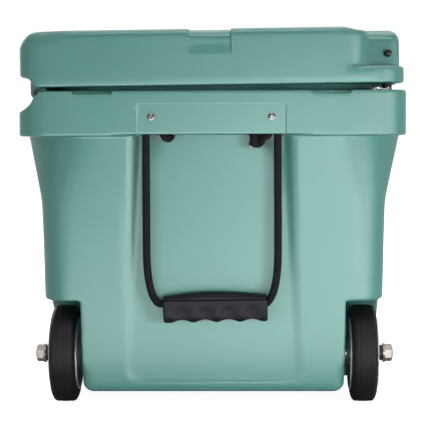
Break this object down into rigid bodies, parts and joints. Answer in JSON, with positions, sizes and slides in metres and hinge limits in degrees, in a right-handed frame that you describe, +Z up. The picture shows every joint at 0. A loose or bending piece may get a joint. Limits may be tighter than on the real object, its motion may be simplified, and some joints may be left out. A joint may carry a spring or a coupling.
{
  "type": "wheeled cooler",
  "caption": "Rotomoulded insulated cooler with a hinged lid, pull-down latches, rope handles, a drain and two wheels on a through axle.",
  "frame": {"origin": "middle of the footprint, at ground level", "axes": "+X towards the latch side, -X the hinge side, -Y the wheel end, +Y the drain end, +Z up"},
  "size_m": [0.48, 0.7474, 0.4716],
  "materials": {
    "shell_plastic": "gloss",
    "insulation_foam": "matte",
    "bright_steel": "gloss",
    "zinc_steel": "satin",
    "brass_insert": "satin",
    "braided_rope": "matte",
    "black_plastic": "satin",
    "grip_plastic": "satin",
    "black_rubber": "matte",
    "tyre_rubber": "satin",
    "hub_plastic": "satin"
  },
  "bodies": {
    "tub": {"tub_skin": "shell_plastic", "tub_foam": "insulation_foam", "tub_fill_plugs": "shell_plastic", "axle_sleeve": "zinc_steel", "axle": "zinc_steel", "axle_washers": "bright_steel", "axle_nuts": "bright_steel", "hinge_pin": "bright_steel", "hinge_pin_caps": "bright_steel", "keeper_plates": "bright_steel", "keeper_screws": "bright_steel", "lock_plates": "bright_steel", "lock_screws": "bright_steel", "handle_inserts": "brass_insert", "wheel_end_screws": "bright_steel", "drain_end_screws": "bright_steel", "wheel_end_rope_ends": "braided_rope", "drain_end_rope_ends": "braided_rope", "wheel_end_knots": "braided_rope", "drain_end_knots": "braided_rope", "foot_pads": "black_rubber", "foot_screws": "bright_steel", "drain_fitting": "black_plastic", "drain_gasket": "black_rubber", "drain_nut": "black_plastic"},
    "lid": {"lid_skin": "shell_plastic", "lid_foam": "insulation_foam", "lid_fill_plug": "shell_plastic", "lid_gasket": "black_rubber", "latch_pins": "bright_steel"},
    "wheel_end_latch": {"wheel_end_latch": "black_plastic"},
    "drain_end_latch": {"drain_end_latch": "black_plastic"},
    "front_wheel": {"front_tyre": "tyre_rubber", "front_hub": "hub_plastic", "front_bushes": "black_plastic"},
    "back_wheel": {"back_tyre": "tyre_rubber", "back_hub": "hub_plastic", "back_bushes": "black_plastic"},
    "wheel_end_handle": {"wheel_end_rope": "braided_rope", "wheel_end_grip": "grip_plastic", "wheel_end_grip_cover": "grip_plastic"},
    "drain_end_handle": {"drain_end_rope": "braided_rope", "drain_end_grip": "grip_plastic", "drain_end_grip_cover": "grip_plastic"},
    "drain_plug": {"drain_plug": "black_plastic", "drain_o_ring": "black_rubber"}
  },
  "joints": [
    {"name": "lid_hinge", "type": "hinge", "parent": "tub", "child": "lid", "pos_m": [-0.216, 0, 0.3936], "axis": [0, -1, 0], "range_deg": [0, 91]},
    {"name": "wheel_end_latch_pivot", "type": "hinge", "parent": "lid", "child": "wheel_end_latch", "pos_m": [0.21856, -0.263, 0.44117], "axis": [0, -1, 0], "range_deg": [0, 115]},
    {"name": "drain_end_latch_pivot", "type": "hinge", "parent": "lid", "child": "drain_end_latch", "pos_m": [0.21856, 0.263, 0.44117], "axis": [0, -1, 0], "range_deg": [0, 115]},
    {"name": "front_wheel_spin", "type": "hinge", "parent": "tub", "child": "front_wheel", "pos_m": [0.1895, -0.29, 0.0615], "axis": [1, 0, 0], "continuous": true},
    {"name": "back_wheel_spin", "type": "hinge", "parent": "tub", "child": "back_wheel", "pos_m": [-0.1895, -0.29, 0.0615], "axis": [1, 0, 0], "continuous": true},
    {"name": "wheel_end_handle_swing", "type": "hinge", "parent": "tub", "child": "wheel_end_handle", "pos_m": [0, -0.357, 0.3255], "axis": [-1, 0, 0], "range_deg": [0, 105]},
    {"name": "drain_end_handle_swing", "type": "hinge", "parent": "tub", "child": "drain_end_handle", "pos_m": [0, 0.357, 0.3255], "axis": [1, 0, 0], "range_deg": [0, 105]},
    {"name": "drain_plug_pull", "type": "slide", "parent": "tub", "child": "drain_plug", "axis": [0, 1, 0], "range_m": [0, 0.065]}
  ]
}
